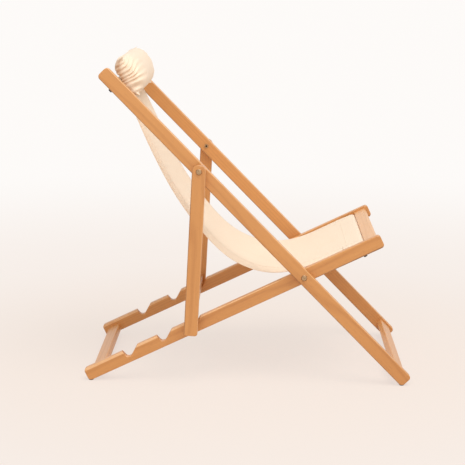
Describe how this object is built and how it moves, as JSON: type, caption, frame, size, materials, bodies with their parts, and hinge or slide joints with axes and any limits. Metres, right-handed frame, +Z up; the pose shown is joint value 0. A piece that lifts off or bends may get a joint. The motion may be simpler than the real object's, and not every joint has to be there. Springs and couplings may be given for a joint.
{
  "type": "reclining garden armchair",
  "caption": "Folding wooden garden chair: crossed back and seat frames, a prop frame in notched seat rails, a hung canvas sling and a gathered head pillow.",
  "frame": {"origin": "on the ground, under the middle of the chair's bounding box", "axes": "+X forward, the way the seat faces; +Y to the sitter's left; +Z up"},
  "size_m": [0.9692, 0.606, 0.9608],
  "materials": {
    "wood": "oiled warm brown hardwood with a satin sheen",
    "fastener": "dull bronzed steel",
    "glide": "matt black moulded plastic",
    "canvas": "natural cream cotton canvas",
    "pillow": "natural cream cotton canvas, padded"
  },
  "bodies": {
    "seat_frame": {"left_seat_rail": "wood", "right_seat_rail": "wood", "rear_crossbar": "wood", "seat_front_board": "wood", "front_sling_dowel": "wood", "front_dowel_screws": "fastener", "cross_pivot_bolts": "fastener", "cross_spacer_washers": "fastener", "cross_nut_washers": "fastener", "cross_pivot_nuts": "fastener", "rear_glides": "glide"},
    "back_frame": {"left_back_rail": "wood", "right_back_rail": "wood", "foot_crossbar": "wood", "top_sling_dowel": "wood", "top_dowel_screws": "fastener", "prop_pivot_bolts": "fastener", "prop_spacer_washers": "fastener", "prop_nut_washers": "fastener", "prop_pivot_nuts": "fastener", "front_glides": "glide", "sling": "canvas", "head_pillow": "pillow"},
    "prop_frame": {"left_prop": "wood", "right_prop": "wood", "prop_crossbar": "wood"}
  },
  "joints": [
    {"name": "back_lift", "type": "hinge", "parent": "seat_frame", "child": "back_frame", "pos_m": [0.16623, 0, 0.326], "axis": [0, 1, 0], "range_deg": [0, 30], "deforming": ["sling"]},
    {"name": "prop_swing", "type": "hinge", "parent": "back_frame", "child": "prop_frame", "pos_m": [-0.14105, 0, 0.63953], "axis": [0, 1, 0], "range_deg": [-10.5, 0]}
  ],
  "couplings": [
    {"joint": "prop_swing", "follows": "back_lift", "ratio": -0.35}
  ]
}
